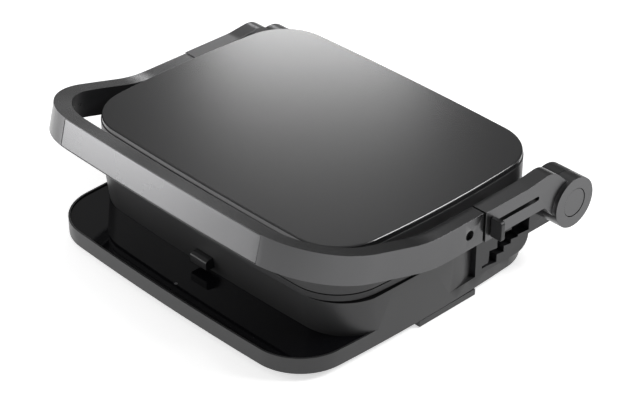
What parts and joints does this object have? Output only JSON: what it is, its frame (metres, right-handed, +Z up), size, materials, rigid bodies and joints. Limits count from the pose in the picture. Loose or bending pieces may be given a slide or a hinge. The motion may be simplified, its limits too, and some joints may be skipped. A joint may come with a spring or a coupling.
{
  "type": "contact grill",
  "caption": "Closed contact grill with a hinged handle frame, a floating upper grill, stepped height stop and slide-out drip tray.",
  "frame": {"origin": "middle of the whole closed grill in plan, at table height under the rubber feet", "axes": "+X to the user's right, +Y to the back where the hinge is, +Z up"},
  "size_m": [0.4266, 0.3582, 0.1482],
  "materials": {
    "dark_housing": "satin, fine grain",
    "black_plastic": "matt",
    "control_glass": "polished black, opaque",
    "lid_finish": "gloss graphite",
    "frame_finish": "satin graphite metallic",
    "silver_trim": "satin anodised",
    "hinge_metal": "satin graphite metallic",
    "grill_coating": "non-stick coated casting",
    "shield_steel": "plain sheet",
    "fastener_steel": "zinc plated",
    "pin_steel": "ground",
    "bush_plastic": "natural acetal",
    "foot_rubber": "matt",
    "board_laminate": "solder-resist green",
    "light_pipe": "clear-white",
    "wire_insulation": "silicone sleeve",
    "slider_black": "gloss",
    "tray_metal": "satin black"
  },
  "bodies": {
    "base": {"lower_housing": "dark_housing", "control_glass": "control_glass", "light_pipe": "light_pipe", "control_board": "board_laminate", "base_cover": "black_plastic", "tray_rails": "black_plastic", "rubber_feet": "foot_rubber", "power_board": "board_laminate", "cord_gland": "black_plastic", "lower_wiring": "wire_insulation", "lower_heat_shield": "shield_steel", "lower_element": "shield_steel", "lower_grill_plate": "grill_coating", "lower_temperature_sensor": "pin_steel", "drain_chute": "shield_steel", "hinge_bracket_left": "black_plastic", "step_bracket_right": "black_plastic", "hinge_pin_left": "pin_steel", "hinge_pin_right": "pin_steel", "cover_screws": "fastener_steel", "bracket_screws": "fastener_steel", "board_screws": "fastener_steel"},
    "frame": {"handle_frame": "frame_finish", "handle_under_cover": "black_plastic", "handle_front_trim": "silver_trim", "pivot_spacers": "black_plastic", "hinge_cap_left": "hinge_metal", "hinge_arm_left": "hinge_metal", "hinge_arm_right": "hinge_metal", "hinge_bush_left": "bush_plastic", "hinge_bush_right": "bush_plastic", "pivot_bolt_left": "pin_steel", "pivot_bolt_right": "pin_steel", "arm_screws": "fastener_steel"},
    "head": {"upper_housing": "dark_housing", "skirt_ring": "black_plastic", "lid_panel": "lid_finish", "upper_grill_plate": "grill_coating", "upper_element": "shield_steel", "upper_heat_shield": "shield_steel", "upper_temperature_sensor": "pin_steel", "pivot_bushes": "bush_plastic", "upper_wiring": "wire_insulation", "ring_screws": "fastener_steel", "lid_screws": "fastener_steel"},
    "slider": {"slider_knob": "slider_black", "slider_foot": "slider_black"},
    "lower_tab": {"lower_release_tab": "black_plastic", "lower_tab_spring": "pin_steel"},
    "upper_tab": {"upper_release_tab": "black_plastic", "upper_tab_spring": "pin_steel"},
    "hinge_button": {"hinge_release_button": "hinge_metal", "hinge_release_spring": "pin_steel"},
    "tray": {"drip_tray": "tray_metal"}
  },
  "joints": [
    {"name": "lid_hinge", "type": "hinge", "parent": "base", "child": "frame", "pos_m": [-0.0047, 0.15339, 0.0709], "axis": [-1, 0, 0], "range_deg": [0, 178]},
    {"name": "upper_grill_float", "type": "hinge", "parent": "frame", "child": "head", "pos_m": [-0.0047, 0.01589, 0.0947], "axis": [1, 0, 0], "range_deg": [-0.4, 0.4]},
    {"name": "height_slide", "type": "slide", "parent": "frame", "child": "slider", "axis": [0, 1, 0], "range_m": [-0.002, 0.006]},
    {"name": "lower_release_push", "type": "slide", "parent": "base", "child": "lower_tab", "axis": [0, 1, 0], "range_m": [0, 0.003], "stiffness_N_per_m": 800, "springref_m": -0.003, "deforming": ["lower_tab_spring"]},
    {"name": "upper_release_push", "type": "slide", "parent": "head", "child": "upper_tab", "axis": [0, 1, 0], "range_m": [0, 0.003], "stiffness_N_per_m": 800, "springref_m": -0.003, "deforming": ["upper_tab_spring"]},
    {"name": "hinge_release_push", "type": "slide", "parent": "frame", "child": "hinge_button", "axis": [-1, 0, 0], "range_m": [0, 0.0024], "stiffness_N_per_m": 800, "springref_m": -0.002, "deforming": ["hinge_release_spring"]},
    {"name": "tray_pull", "type": "slide", "parent": "base", "child": "tray", "axis": [1, 0, 0], "range_m": [0, 0.2]}
  ]
}
